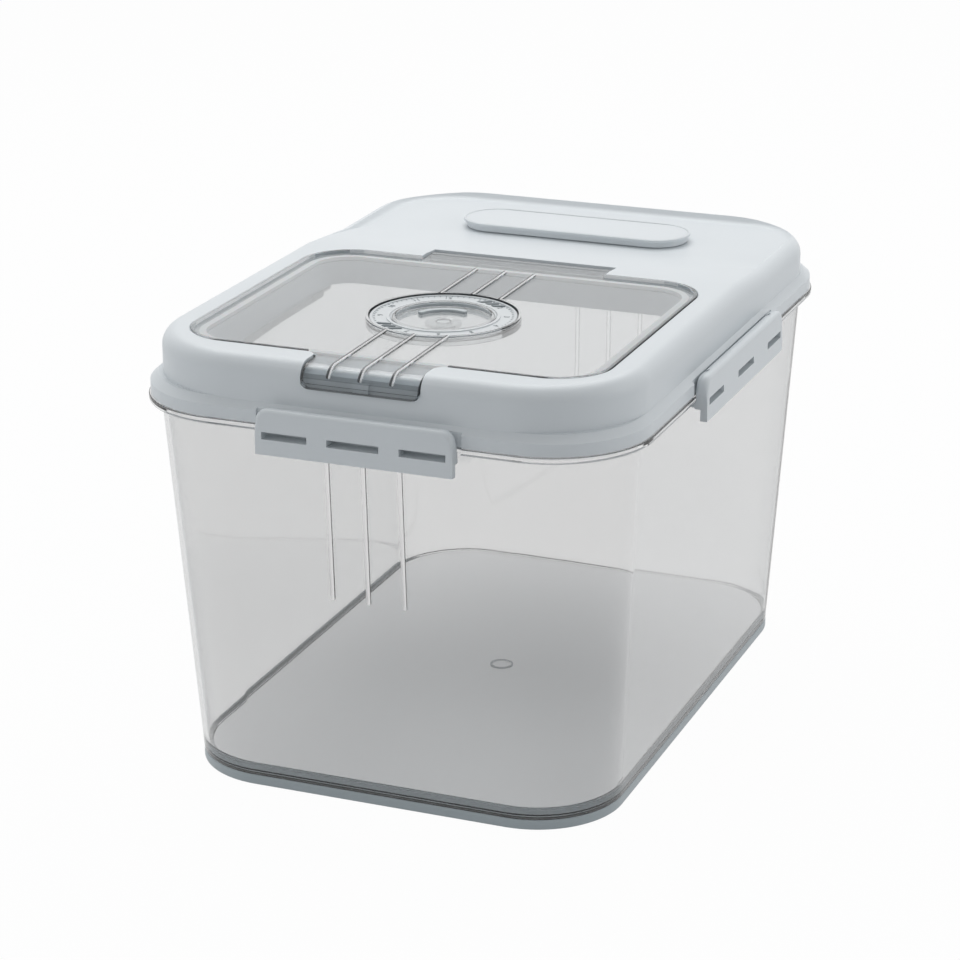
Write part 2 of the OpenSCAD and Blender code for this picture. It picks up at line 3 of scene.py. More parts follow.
import bpy
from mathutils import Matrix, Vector


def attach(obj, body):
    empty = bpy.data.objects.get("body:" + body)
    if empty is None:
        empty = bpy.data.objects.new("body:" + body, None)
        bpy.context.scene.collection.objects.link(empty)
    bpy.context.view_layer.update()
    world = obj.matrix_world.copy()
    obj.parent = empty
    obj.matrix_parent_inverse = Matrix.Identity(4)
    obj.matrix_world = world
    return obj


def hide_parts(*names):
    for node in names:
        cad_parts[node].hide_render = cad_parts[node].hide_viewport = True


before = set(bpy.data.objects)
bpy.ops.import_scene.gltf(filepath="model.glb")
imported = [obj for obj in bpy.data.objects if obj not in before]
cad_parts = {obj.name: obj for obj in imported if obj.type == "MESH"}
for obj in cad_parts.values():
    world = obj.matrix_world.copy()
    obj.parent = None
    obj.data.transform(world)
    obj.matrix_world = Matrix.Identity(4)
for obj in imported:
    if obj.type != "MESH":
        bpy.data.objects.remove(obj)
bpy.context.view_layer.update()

# ---- Studio -------------------------------------------------------------------
# A white sweep in an even white room, with one large soft lamp above and a weaker
# one at the right. Clear plastic and steel see the same white all round.

camera_data = bpy.data.cameras.new("camera")
camera_data.sensor_width = 36
focal_pixels, width_pixels = 2989.346, 960
camera_data.lens = camera_data.sensor_width * focal_pixels / width_pixels
camera = bpy.data.objects.new("camera", camera_data)
bpy.context.scene.collection.objects.link(camera)
camera.location = (0.534390, -1.357725, 0.631084)
camera.rotation_euler = [math.radians(a) for a in (70.47751, 0.21303, 21.78999)]
bpy.context.scene.camera = camera
bpy.context.scene.view_settings.view_transform = "Standard"


def tone(code):
    """The linear colour of an sRGB hex value, such as "E0E4E7"."""
    parts = [int(code[i : i + 2], 16) / 255 for i in (0, 2, 4)]
    return [p / 12.92 if p <= 0.04045 else ((p + 0.055) / 1.055) ** 2.4 for p in parts] + [1]


def add(tree, kind, inputs=None, **settings):
    """One node with its settings, and its inputs as values or as links."""
    made = tree.nodes.new(kind)
    for key, value in settings.items():
        setattr(made, key, value)
    for key, value in (inputs or {}).items():
        if isinstance(value, bpy.types.NodeSocket):
            tree.links.new(value, made.inputs[key])
        else:
            made.inputs[key].default_value = value
    return made


def seen_white(tree, dim, share):
    """White for rays from the eye, from gloss and through glass, else the dim shader."""
    path = add(tree, "ShaderNodeLightPath")
    shine = add(tree, "ShaderNodeMath", {0: path.outputs["Is Camera Ray"],
                1: path.outputs["Is Glossy Ray"]}, operation="MAXIMUM")
    seen = add(tree, "ShaderNodeMath", {0: shine.outputs[0],
               1: path.outputs["Is Transmission Ray"]}, operation="MAXIMUM")
    part = add(tree, "ShaderNodeMath", {0: seen.outputs[0], 1: share}, operation="MULTIPLY")
    white = add(tree, "ShaderNodeEmission", {"Color": (1, 1, 1, 1), "Strength": 1})
    return add(tree, "ShaderNodeMixShader", {0: part.outputs[0], 1: dim.outputs[0],
               2: white.outputs[0]})


world = bpy.data.worlds.new("white room")
world.use_nodes = True
bpy.context.scene.world = world
tree = world.node_tree
tree.nodes.clear()
room = add(tree, "ShaderNodeBackground", {"Color": tone("F6F8FA"), "Strength": 0.45})
add(tree, "ShaderNodeOutputWorld", {"Surface": seen_white(tree, room, 1.0).outputs[0]})

# the sweep shows white, with a trace of the object's shadow
paper = bpy.data.materials.new("white paper sweep")
paper.use_nodes = True
tree = paper.node_tree
tree.nodes.clear()
matt = add(tree, "ShaderNodeBsdfDiffuse", {"Color": tone("DADCDE")})
add(tree, "ShaderNodeOutputMaterial", {"Surface": seen_white(tree, matt, 0.97).outputs[0]})

bpy.ops.object.select_all(action="DESELECT")
bpy.ops.mesh.primitive_plane_add(size=8, location=(0, 0, -0.0002))
sweep = bpy.context.object
sweep.name = "white_sweep"
sweep.data.materials.append(paper)

for name, place, size, power in (("soft box above", (-0.35, 0.75, 1.60), 1.5, 17.0),
                                 ("soft box right", (1.80, 0.50, 0.80), 1.2, 6.5),
                                 ("fill left", (-0.90, -0.70, 0.45), 0.6, 1.6)):
    lamp = bpy.data.lights.new(name, "AREA")
    lamp.size = size
    lamp.energy = power
    holder = bpy.data.objects.new(name, lamp)
    bpy.context.scene.collection.objects.link(holder)
    holder.location = place
    aim = Vector((0, 0, 0.12)) - Vector(place)
    holder.rotation_euler = aim.to_track_quat("-Z", "Y").to_euler()
    holder.visible_glossy = name != "fill left"
    # seen through the clear parts, a lamp would stand out from the white room
    holder.visible_transmission = False

# ---- Base ---------------------------------------------------------------------
# The grey foot under the tub: polypropylene, injection moulded with a fine satin
# finish and welded to the tub's underside. A shallow pan keeps it stiff.


def rest():
    """Object mode, with nothing selected."""
    if bpy.context.mode != "OBJECT":
        bpy.ops.object.mode_set(mode="OBJECT")
    bpy.ops.object.select_all(action="DESELECT")


def only(piece):
    """Object mode, with one piece selected and active."""
    rest()
    piece.select_set(True)
    bpy.context.view_layer.objects.active = piece


def pick(piece, kind, rule):
    """Edit mode, with only the faces, edges or points that meet a rule selected."""
    only(piece)
    bpy.ops.object.mode_set(mode="EDIT")
    bpy.ops.mesh.select_mode(type=kind)
    bpy.ops.mesh.select_all(action="DESELECT")
    bpy.ops.object.mode_set(mode="OBJECT")
    points = piece.data.vertices
    if kind == "FACE":
        for face in piece.data.polygons:
            face.select = bool(rule(face.center, face.normal))
    elif kind == "EDGE":
        for edge in piece.data.edges:
            edge.select = bool(rule(*(points[i].co for i in edge.vertices)))
    else:
        for point in points:
            point.select = bool(rule(point.co))
    bpy.ops.object.mode_set(mode="EDIT")


def raise_faces(height):
    """Extrudes the chosen faces straight up, or down."""
    bpy.ops.mesh.extrude_region_move(TRANSFORM_OT_translate={"value": (0, 0, height)})


def modify(piece, kind, **settings):
    """Adds one modifier to a piece and applies it."""
    only(piece)
    made = piece.modifiers.new(kind.lower(), kind)
    for key, value in settings.items():
        setattr(made, key, value)
    bpy.ops.object.modifier_apply(modifier=made.name)


def combine(piece, *tools, how="DIFFERENCE"):
    """Cuts tools out of a piece, or joins them to it, and removes the tools."""
    for tool in tools:
        modify(piece, "BOOLEAN", object=tool, operation=how, solver="EXACT")
        modify(piece, "WELD", merge_threshold=0.000001)
        bpy.data.objects.remove(tool)
    return piece


def block(name, low, high, corner=0.0, steps=16):
    """A cube at its size and place, with its four upright edges rounded."""
    rest()
    size = [b - a for a, b in zip(low, high)]
    bpy.ops.mesh.primitive_cube_add(size=1, location=[(a + b) / 2 for a, b in zip(low, high)],
                                    scale=size)
    bpy.ops.object.transform_apply()
    piece = bpy.context.object
    piece.name = piece.data.name = name
    if corner:
        pick(piece, "EDGE", lambda a, b: abs(a.z - b.z) > 0.9 * size[2])
        bpy.ops.mesh.bevel(offset=corner, segments=steps, affect="EDGES")
        bpy.ops.object.mode_set(mode="OBJECT")
    return piece


def bar_of(radius, length, place, turn=(0, 0, 0), sides=32):
    """A round bar about its middle, upright unless it is turned."""
    rest()
    bpy.ops.mesh.primitive_cylinder_add(vertices=sides, radius=radius, depth=length,
                                        location=place, rotation=turn)
    bpy.ops.object.transform_apply()
    return bpy.context.object


def turned(piece, x=0.0, z=0.0, place=(0, 0, 0)):
    """Turns a piece about the origin, then moves it, and fixes both in its mesh."""
    only(piece)
    piece.rotation_euler = (x, 0, z)
    piece.location = place
    bpy.ops.object.transform_apply()
    return piece


def slice_at(piece, place, normal, **settings):
    """Cuts a piece's faces along a plane."""
    only(piece)
    bpy.ops.object.mode_set(mode="EDIT")
    bpy.ops.mesh.select_all(action="SELECT")
    bpy.ops.mesh.bisect(plane_co=place, plane_no=normal, **settings)
    bpy.ops.object.mode_set(mode="OBJECT")


def copied(piece, name, shift=(0, 0, 0), turn=0.0):
    """A copy with its own mesh, moved and then turned about the upright axis."""
    one = bpy.data.objects.new(name, piece.data.copy())
    bpy.context.scene.collection.objects.link(one)
    return turned(turned(one, place=shift), z=turn)


def round_edges(piece, radius, segments, rule):
    """Rounds the chosen edges."""
    pick(piece, "EDGE", rule)
    bpy.ops.mesh.bevel(offset=radius, segments=segments, affect="EDGES")
    bpy.ops.object.mode_set(mode="OBJECT")


def soften(piece, radius, segments=3):
    """Takes the sharpness off every edge that turns by more than 30 degrees."""
    modify(piece, "BEVEL", width=radius, segments=segments, limit_method="ANGLE",
           angle_limit=math.radians(30), use_clamp_overlap=False)
    modify(piece, "WELD", merge_threshold=0.000002)


def shade(piece):
    """Joins doubled points, then shades flat faces flat and rounded ones smooth."""
    modify(piece, "WELD", merge_threshold=0.000003)
    modify(piece, "TRIANGULATE", min_vertices=5)
    only(piece)
    bpy.ops.object.shade_smooth_by_angle(angle=math.radians(36))
    modify(piece, "WEIGHTED_NORMAL", keep_sharp=True, weight=90)


def moulded(name, code, rough, grain):
    """Moulded polypropylene. A fine satin grain breaks up its gloss, and the flow of
    the melt leaves it a trace lighter and darker."""
    finish = bpy.data.materials.new(name)
    finish.use_nodes = True
    tree = finish.node_tree
    shader = tree.nodes["Principled BSDF"]
    place = add(tree, "ShaderNodeTexCoord")
    flow = add(tree, "ShaderNodeTexNoise", {"Vector": place.outputs["Object"],
               "Scale": 1 / 0.07, "Detail": 2})
    trace = add(tree, "ShaderNodeMapRange", {"Value": flow.outputs["Fac"],
                "From Min": 0.3, "From Max": 0.7, "To Min": 0.975, "To Max": 1.0})
    colour = add(tree, "ShaderNodeMix", {0: 1.0, 6: tone(code), 7: trace.outputs[0]},
                 data_type="RGBA", blend_type="MULTIPLY")
    tree.links.new(colour.outputs[2], shader.inputs["Base Color"])
    spark = add(tree, "ShaderNodeTexNoise", {"Vector": place.outputs["Object"],
                "Scale": 1 / grain, "Detail": 3})
    satin = add(tree, "ShaderNodeMapRange", {"Value": spark.outputs["Fac"],
                "To Min": rough - 0.06, "To Max": rough + 0.06})
    tree.links.new(satin.outputs[0], shader.inputs["Roughness"])
    bump = add(tree, "ShaderNodeBump", {"Height": spark.outputs["Fac"], "Strength": 0.1,
               "Distance": grain / 8})
    tree.links.new(bump.outputs[0], shader.inputs["Normal"])
    shader.inputs["IOR"].default_value = 1.49
    return finish


def adjust(finish, name, value):
    """Sets one value of a material's shader."""
    finish.node_tree.nodes["Principled BSDF"].inputs[name].default_value = value
    return finish


def dress(piece, body, slot, finish, *nodes):
    """Gives a piece its material, its body, its slot and the CAD nodes it stands for."""
    only(piece)
    piece.data.materials.clear()
    piece.data.materials.append(finish)
    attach(piece, body)
    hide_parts(*nodes)


base_plastic = moulded("grey satin polypropylene", "B0B9BD", 0.42, 0.0004)
base = block("base_foot", (-0.1099, -0.1609, 0), (0.1099, 0.1609, 0.0050), 0.044, 28)
pick(base, "FACE", lambda c, n: n.z > 0.9)
bpy.ops.mesh.inset(thickness=0.0070)
raise_faces(-0.0026)
soften(base, 0.0006)
shade(base)
dress(base, "tub", "base", base_plastic, "base_tray")

# ---- Tub ----------------------------------------------------------------------
# The clear bin: smoke-tinted styrene, injection moulded from one gate in the middle
# of its floor and polished. A flange and a lip round its mouth carry the lid.


def clear_plastic(name, code, graze_shade_code, fall, rough, wave):
    """Polished clear styrene: a faint smoke tint, deeper where it is seen edge-on, partly from the
    longer path through it and partly as a painted shade that draws dark outlines; and a slow
    ripple from the mould. Lamps shine through it."""
    finish = bpy.data.materials.new(name)
    finish.use_nodes = True
    tree = finish.node_tree
    shader = tree.nodes["Principled BSDF"]
    place = add(tree, "ShaderNodeTexCoord")
    graze = add(tree, "ShaderNodeLayerWeight", {"Blend": 0.5})
    # the edge-on darkening: partly a longer path through the sheet, partly a painted shade for
    # dark outlines
    rim = add(tree, "ShaderNodeMath", {0: graze.outputs["Facing"], 1: fall},
              operation="POWER")
    colour = add(tree, "ShaderNodeMix", {0: rim.outputs[0], 6: tone(code), 7: tone(graze_shade_code)},
                 data_type="RGBA")
    tree.links.new(colour.outputs[2], shader.inputs["Base Color"])
    ripple = add(tree, "ShaderNodeTexNoise", {"Vector": place.outputs["Object"],
                 "Scale": 1 / 0.025, "Detail": 1})
    bump = add(tree, "ShaderNodeBump", {"Height": ripple.outputs["Fac"], "Strength": 1.0,
               "Distance": wave})
    tree.links.new(bump.outputs[0], shader.inputs["Normal"])
    shader.inputs["Roughness"].default_value = rough
    shader.inputs["IOR"].default_value = 1.5
    shader.inputs["Transmission Weight"].default_value = 1
    path = add(tree, "ShaderNodeLightPath")
    lamps = add(tree, "ShaderNodeMath", {0: path.outputs["Is Shadow Ray"],
                1: path.outputs["Is Diffuse Ray"]}, operation="MAXIMUM")
    # a lamp's ray crosses two faces of every wall, so each takes the root of the tint
    through = add(tree, "ShaderNodeBsdfTransparent", {"Color": [c ** 0.5 for c in tone(code)]})
    mixed = add(tree, "ShaderNodeMixShader", {0: lamps.outputs[0], 1: shader.outputs[0],
                2: through.outputs[0]})
    tree.links.new(mixed.outputs[0], tree.nodes["Material Output"].inputs["Surface"])
    return finish


def draw_in(piece, height, by):
    """Moves the points at one height towards the middle, by one amount on each axis."""
    for axis, sign in ((0, 1), (0, -1), (1, 1), (1, -1)):
        pick(piece, "VERT", lambda p: abs(p.z - height) < 1e-5 and p[axis] * sign > 0)
        move = [0, 0, 0]
        move[axis] = -sign * by
        bpy.ops.transform.translate(value=move)


# the flange's underside, and the wall below it: its place at the flange, how far it
# goes down, and how far it draws in
FLANGE_Z = 0.1904
WALL_Y, WALL_DROP, WALL_IN = 0.1715, 0.1854, 0.0106

tub_clear = clear_plastic("clear smoke styrene", "E8E8E8", "8A9094", 3, 0.02, 0.00003)
tub = block("clear_tub", (-0.1265, -0.1775, FLANGE_Z), (0.1265, 0.1775, 0.1934), 0.050, 28)
# the wall, from the flange down to the foot
pick(tub, "FACE", lambda c, n: n.z < -0.9)
bpy.ops.mesh.inset(thickness=0.0060)
raise_faces(-WALL_DROP)
draw_in(tub, 0.0050, WALL_IN)
pick(tub, "FACE", lambda c, n: n.z < -0.9 and c.z < 0.006)
bpy.ops.mesh.inset(thickness=0.0040)
raise_faces(0.0008)
# the lip, and the inside down to the floor
pick(tub, "FACE", lambda c, n: n.z > 0.9 and c.z > 0.193)
bpy.ops.mesh.inset(thickness=0.0054)
raise_faces(0.0028)
bpy.ops.mesh.inset(thickness=0.00245)
raise_faces(-0.1872)
draw_in(tub, 0.0090, 0.01072)
round_edges(tub, 0.0035, 5, lambda a, b: abs(a.z - 0.009) < 1e-5 and abs(b.z - 0.009) < 1e-5)
soften(tub, 0.0006)
# gate mark in the middle of the floor
gate = bar_of(0.0060, 0.0008, (0, 0.004, 0.0091), sides=40)
pick(gate, "FACE", lambda c, n: n.z > 0.9)
bpy.ops.mesh.inset(thickness=0.0011)
raise_faces(-0.0004)
combine(tub, gate, how="UNION")
# three ribs down the front wall and three down the back
rib_lean = math.atan2(WALL_IN, WALL_DROP)
rib = bar_of(0.0012, 0.0840, (0, -WALL_Y + 0.0420 * math.sin(rib_lean),
             FLANGE_Z - 0.0420 * math.cos(rib_lean)), (rib_lean, 0, 0), 24)
round_edges(rib, 0.0010, 3, lambda a, b: max(a.z, b.z) < 0.110)
for turn in (0, math.pi):
    for across in (-0.0184, 0, 0.0184):
        combine(tub, copied(rib, "tub_rib", (across, 0, 0), turn), how="UNION")
bpy.data.objects.remove(rib)
# each latch's side, its turn, its edge's distance from the middle, and its length
LATCHES = (("front", math.pi, 0.1775, 0.0986), ("back", 0, 0.1775, 0.0986),
           ("left", math.pi / 2, 0.1265, 0.1260), ("right", -math.pi / 2, 0.1265, 0.1260))
# the flange is cut back behind each latch, with a bevel for its hooks
for side, turn, edge, length in LATCHES:
    relief = block("relief", (-length / 2 - 0.002, edge - 0.0029, 0.1894),
                   (length / 2 + 0.002, edge + 0.0010, 0.1936))
    pick(relief, "VERT", lambda p: p.z < 0.19 and p.y < edge)
    bpy.ops.transform.translate(value=(0, -0.0015, 0))
    combine(tub, turned(relief, z=turn))
# the foot's edge, a narrow band all round, which takes a painted shade
FOOT_SHADE_BAND = (0.0074, 0.0082)
for height in FOOT_SHADE_BAND:
    slice_at(tub, (0, 0, height), (0, 0, 1))
shade(tub)
dress(tub, "tub", "clear", tub_clear, "tub")
FLOOR, RIB, FOOT = 1, 2, 3
# a nearly opaque matt white on the floor's top face, a painted light that brightens the floor
tub.data.materials.append(adjust(
    clear_plastic("floor styrene painted light", "FAFAFA", "FAFAFA", 3, 0.25, 0.00003),
    "Transmission Weight", 0.1))
# the ribs keep the grain of their cutter, which scatters light; they are left white, without the
# smoke tint, a painted highlight
tub.data.materials.append(clear_plastic("rib styrene painted highlight", "FFFFFF", "FFFFFF", 3, 0.35,
                                        0.00001))
# painted shade: a dark, nearly opaque tint where the wall meets the floor and the foot
tub.data.materials.append(adjust(
    clear_plastic("foot edge painted shade", "15181A", "101314", 2, 0.2, 0.00001),
    "Transmission Weight", 0.05))
for face in tub.data.polygons:
    c, n = face.center, face.normal
    # painted shade on the foot's band and its sides
    if abs(n.z) < 0.9 and (FOOT_SHADE_BAND[0] < c.z < FOOT_SHADE_BAND[1] or c.z < 0.0057):
        face.material_index = FOOT
    wall = WALL_Y - (FLANGE_Z - c.z) * math.tan(rib_lean)
    # painted highlight on the ribs' outer faces
    if abs(c.x) < 0.0200 and abs(c.y) > wall + 0.0001 and 0.1050 < c.z < 0.1890:
        face.material_index = RIB
    # painted light on the floor's top face
    if n.z > 0.9 and 0.0080 < c.z < 0.0095:
        face.material_index = FLOOR

# ---- Lid shell ----------------------------------------------------------------
# The pale lid: one injection moulding in satin polypropylene. Its skirt covers the
# tub's flange, and a collar under the deck frames the pour opening.

lid_plastic = moulded("pale satin polypropylene", "DBE0E3", 0.40, 0.0004)

lid = block("lid_shell", (-0.1255, -0.1765, 0.1937), (0.1255, 0.1765, 0.1996), 0.049, 28)
# shoulder above, then the skirt's channel and the plug wall below
pick(lid, "FACE", lambda c, n: n.z > 0.9)
bpy.ops.mesh.inset(thickness=0.0039, depth=0.00347)
pick(lid, "FACE", lambda c, n: n.z < -0.9)
bpy.ops.mesh.inset(thickness=0.0023)
raise_faces(0.0059)
bpy.ops.mesh.inset(thickness=0.0052)
raise_faces(-0.0078)
bpy.ops.mesh.inset(thickness=0.0020)
raise_faces(0.0105)
bpy.ops.object.mode_set(mode="OBJECT")

# the deck drops towards its rear, where a low crest ends it, then all its top edge is
# rounded
deck = block("deck", (-0.1219, -0.1729, 0.2008), (0.1219, 0.1729, 0.2237))
for y in (0.026, 0.070):
    slice_at(deck, (0, y, 0), (0, 1, 0))
pick(deck, "VERT", lambda p: p.z > 0.2236 and p.y > 0.069)
bpy.ops.transform.translate(value=(0, 0, -0.0035))
pick(deck, "VERT", lambda p: p.z > 0.2150 and p.y > 0.172)
bpy.ops.transform.translate(value=(0, 0, 0.0009))
round_edges(deck, 0.053, 28,
            lambda a, b: abs(a.z - b.z) > 0.015 and abs(abs(a.y) - 0.1729) < 1e-5)
pick(deck, "FACE", lambda c, n: n.z > 0.9)
bpy.ops.mesh.region_to_loop()
bpy.ops.mesh.bevel(offset=0.0080, segments=8, affect="EDGES")
combine(lid, deck, how="UNION")

# the hollow inside, lower under the rear, and its mouth within the plug wall
hollow = block("hollow", (-0.1195, -0.1705, 0.2018), (0.1195, 0.1705, 0.2213), 0.0506, 20)
pick(hollow, "FACE", lambda c, n: n.z > 0.9)
bpy.ops.mesh.region_to_loop()
bpy.ops.mesh.bevel(offset=0.0056, segments=5, affect="EDGES")
combine(hollow, block("rear", (-0.13, 0.0340, 0.2145), (0.13, 0.18, 0.2300)))
combine(lid, hollow,
        block("mouth", (-0.1159, -0.1669, 0.2000), (0.1159, 0.1669, 0.2030), 0.0394, 20))

# the rear field: sloped sides, and a long ramp up to the deck at its front
field = block("field", (-0.1149, 0.0, 0.2211), (0.1149, 0.1659, 0.2260), 0.034, 20)
pick(field, "FACE", lambda c, n: n.z < -0.9)
bpy.ops.mesh.inset(thickness=0.0030, depth=0.0036)
round_edges(field, 0.0020, 4, lambda a, b: a.z < 0.2176 and b.z < 0.2176)
slice_at(field, (0, 0.0315, 0.2237), (0, 0.0062, 0.0565), use_fill=True, clear_inner=True)
combine(lid, field)

# ledge and collar of the pour opening, trough for the hinge, wall behind the finger
# tab, and the seat of the desiccant case
combine(lid, block("ledge", (-0.1086, -0.1556, 0.2159), (0.1086, 0.0221, 0.2224), 0.0284, 16),
        block("collar", (-0.0996, -0.1466, 0.2061), (0.0996, 0.0131, 0.2181), 0.0194, 16),
        block("trough", (-0.0522, 0.0156, 0.2136), (0.0522, 0.0381, 0.2217)),
        block("tab wall", (-0.0325, -0.1713, 0.2089), (0.0325, -0.1481, 0.2191)),
        block("case seat", (-0.0611, 0.0961, 0.2135), (0.0611, 0.1331, 0.2165), 0.01849, 12),
        how="UNION")

# room for the flap and its finger tab, with rounded corners where they meet
room = block("flap room", (-0.1066, -0.1536, 0.2181), (0.1066, 0.0205, 0.2320), 0.0264, 16)
combine(room, block("tab room", (-0.0300, -0.1850, 0.2181), (0.0300, -0.1491, 0.2320)),
        how="UNION")
round_edges(room, 0.0055, 6, lambda a, b: abs(a.z - b.z) > 0.01
            and abs(abs(a.x) - 0.030) < 1e-5 and abs(a.y + 0.1536) < 1e-5)
drop = block("tab drop", (-0.0300, -0.1850, 0.2119), (0.0300, -0.1699, 0.2200))
round_edges(drop, 0.0045, 6, lambda a, b: abs(a.y - b.y) > 0.01 and a.z < 0.213 and b.z < 0.213)
notch = block("hinge room", (-0.0502, 0.0150, 0.2156), (0.0502, 0.0361, 0.2320))
pick(notch, "VERT", lambda p: p.y > 0.036 and p.z > 0.23)
bpy.ops.transform.translate(value=(0, 0.0028, 0))
combine(lid, room, drop, notch,
        block("pour opening", (-0.0976, -0.1446, 0.1970), (0.0976, 0.0111, 0.2300), 0.0174, 16),
        block("case mouth", (-0.0554, 0.1018, 0.2000), (0.0554, 0.1274, 0.2300), 0.01279, 12),
        block("case rebate", (-0.0578, 0.0994, 0.2161), (0.0578, 0.1298, 0.2300), 0.01519, 12))

# lugs that hold the latches' pins, and the skirt cut back behind each latch. A pin's
# place is measured out from the flange's edge, and a lug's in from the latch's end.
PIN_OUT, PIN_Z, LUG_IN = 0.0018, 0.1994, 0.012
for side, turn, edge, length in LATCHES:
    relief = block("relief", (-length / 2 - 0.002, edge - 0.0024, 0.1927),
                   (length / 2 + 0.002, edge + 0.0010, 0.2010))
    combine(lid, turned(relief, z=turn))
    for s in (-1, 1):
        x = s * (length / 2 - LUG_IN)
        lug = block("lug", (x - 0.0015, edge - 0.0003, 0.1937), (x + 0.0015, edge + 0.0039, PIN_Z))
        eye = bar_of(0.0021, 0.0030, (x, edge + PIN_OUT, PIN_Z), (0, math.pi / 2, 0), 24)
        arm = block("arm", (x - 0.0015, edge - 0.0034, 0.1937), (x + 0.0015, edge, 0.1956))
        combine(lug, eye, arm, how="UNION")
        combine(lid, turned(lug, z=turn), how="UNION")
# catch behind the finger tab
catch = block("catch", (-0.0040, -0.1711, 0.2125), (0.0040, -0.1689, 0.2167))
combine(lid, catch, how="UNION")
shade(lid)
dress(lid, "lid", "lid", lid_plastic, "outer_lid")

# ---- Desiccant box ------------------------------------------------------------
# A slotted case that hangs in the lid, and its pill-shaped cap, both moulded in the
# lid's polypropylene. The cap's rim overhangs its neck, to be lifted by a finger.


def copy_of(node, name):
    """A copy of a CAD node's mesh as a new piece, with its flat faces made whole."""
    piece = bpy.data.objects.new(name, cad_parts[node].data.copy())
    bpy.context.scene.collection.objects.link(piece)
    piece.data.materials.clear()
    only(piece)
    bpy.ops.object.mode_set(mode="EDIT")
    bpy.ops.mesh.select_all(action="SELECT")
    bpy.ops.mesh.remove_doubles(threshold=0.000004)
    bpy.ops.mesh.dissolve_limited(angle_limit=math.radians(0.05))
    bpy.ops.object.mode_set(mode="OBJECT")
    return piece


for node, name, body in (("desiccant_case", "sachet_case", "lid"),
                         ("desiccant_cap", "sachet_cap", "desiccant_cap")):
    piece = copy_of(node, name)
    if name == "sachet_cap":
        top = max(p.co.z for p in piece.data.vertices)
        pick(piece, "FACE", lambda c, n: n.z > 0.9 and c.z > top - 0.00001)
        bpy.ops.mesh.inset(thickness=0.0013)
        raise_faces(-0.0004)
    soften(piece, 0.0004)
    shade(piece)
    dress(piece, body, "lid", lid_plastic, node)

# ---- Seals --------------------------------------------------------------------
# Two soft silicone rings, one in the lid's channel on the tub's lip and one stuck
# under the flap. They are moulded, milky and a little translucent.

silicone = moulded("milky silicone rubber", "DDE0E1", 0.5, 0.0006)
adjust(silicone, "Subsurface Weight", 0.2)
adjust(silicone, "Subsurface Scale", 0.002)
for node in ("lid_seal", "flap_seal"):
    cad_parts[node].data.materials.clear()
    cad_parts[node].data.materials.append(silicone)

# ---- Flap ---------------------------------------------------------------------
# The clear pour flap: smoke-tinted styrene, moulded and polished. Three ribs run
# from the dial's cup over the finger tab, which bends down over the lid's front.

# the bend of its finger tab, its hinge, the dial's middle, and its ribs' places
BEND_Y, BEND_Z = -0.1653, 0.2136
HINGE = (0, 0.0325, 0.2193)
DIAL_Y = -0.0728
RIBS = (-0.0158, 0, 0.0158)
ALONG_X = (0, math.pi / 2, 0)

flap_clear = clear_plastic("clear flap styrene", "E1E3E4", "30363A", 8, 0.02, 0.00001)
flap = block("pour_flap", (-0.1061, -0.1531, 0.2202), (0.1061, 0.0196, 0.2226), 0.0259, 20)
for x in (-0.0497, -0.0295, 0.0295, 0.0497):
    slice_at(flap, (x, 0, 0), (1, 0, 0))
# finger tab: drawn out of the front edge and spun down round its bend
pick(flap, "FACE", lambda c, n: n.y < -0.9 and abs(c.x) < 0.010)
bpy.ops.mesh.extrude_region_move(TRANSFORM_OT_translate={"value": (0, -0.0122, 0)})
bpy.ops.mesh.spin(steps=12, angle=-math.pi / 2, center=(0, BEND_Y, BEND_Z),
                  axis=(1, 0, 0))
raise_faces(-0.0014)
# hinge tab, out of the rear edge
pick(flap, "FACE", lambda c, n: n.y > 0.9 and abs(c.x) < 0.049)
bpy.ops.mesh.extrude_region_move(TRANSFORM_OT_translate={"value": (0, 0.0129, 0)})
bpy.ops.mesh.select_all(action="SELECT")
bpy.ops.mesh.dissolve_limited(angle_limit=math.radians(0.05))
bpy.ops.mesh.normals_make_consistent(inside=False)
round_edges(flap, 0.0055, 6, lambda a, b: abs(a.z - b.z) > 0.0015
            and abs(abs(a.x) - 0.0295) < 1e-5 and abs(a.y + 0.1531) < 1e-5)
soften(flap, 0.0005, 2)
# low rim round the plate, open at the two tabs
rim = block("rim", (-0.10615, -0.15315, 0.2215), (0.10615, 0.01965, 0.2241), 0.0259, 20)
combine(rim, block("inner", (-0.1044, -0.1514, 0.2100), (0.1044, 0.0179, 0.2300), 0.0242, 20),
        block("front gap", (-0.0352, -0.1600, 0.2100), (0.0352, -0.1400, 0.2300)),
        block("rear gap", (-0.0497, 0.0100, 0.2100), (0.0497, 0.0300, 0.2300)))
soften(rim, 0.0004, 2)
combine(flap, rim, how="UNION")
# bead along the finger tab's lower edge, whose corners are then rounded
combine(flap, block("bead", (-0.0293, -0.1749, 0.2120), (0.0293, -0.1724, 0.2150)), how="UNION")
trim = block("trim", (-0.0340, -0.1800, 0.2100), (0.0340, -0.1680, 0.2170))
kept = block("kept", (-0.02955, -0.1850, 0.2124), (0.02955, -0.1600, 0.2300))
round_edges(kept, 0.0045, 6, lambda a, b: abs(a.y - b.y) > 0.01 and a.z < 0.213 and b.z < 0.213)
combine(flap, combine(trim, kept))
# hinge barrel
combine(flap, bar_of(0.00328, 0.0990, HINGE, ALONG_X, 40), how="UNION")
# cup for the dial: a round boss, undercut to leave a skirt below it
combine(flap, bar_of(0.0379, 0.0068, (0, DIAL_Y, 0.2199), sides=96), how="UNION")
combine(flap, bar_of(0.0366, 0.0060, (0, DIAL_Y, 0.2153), sides=96))
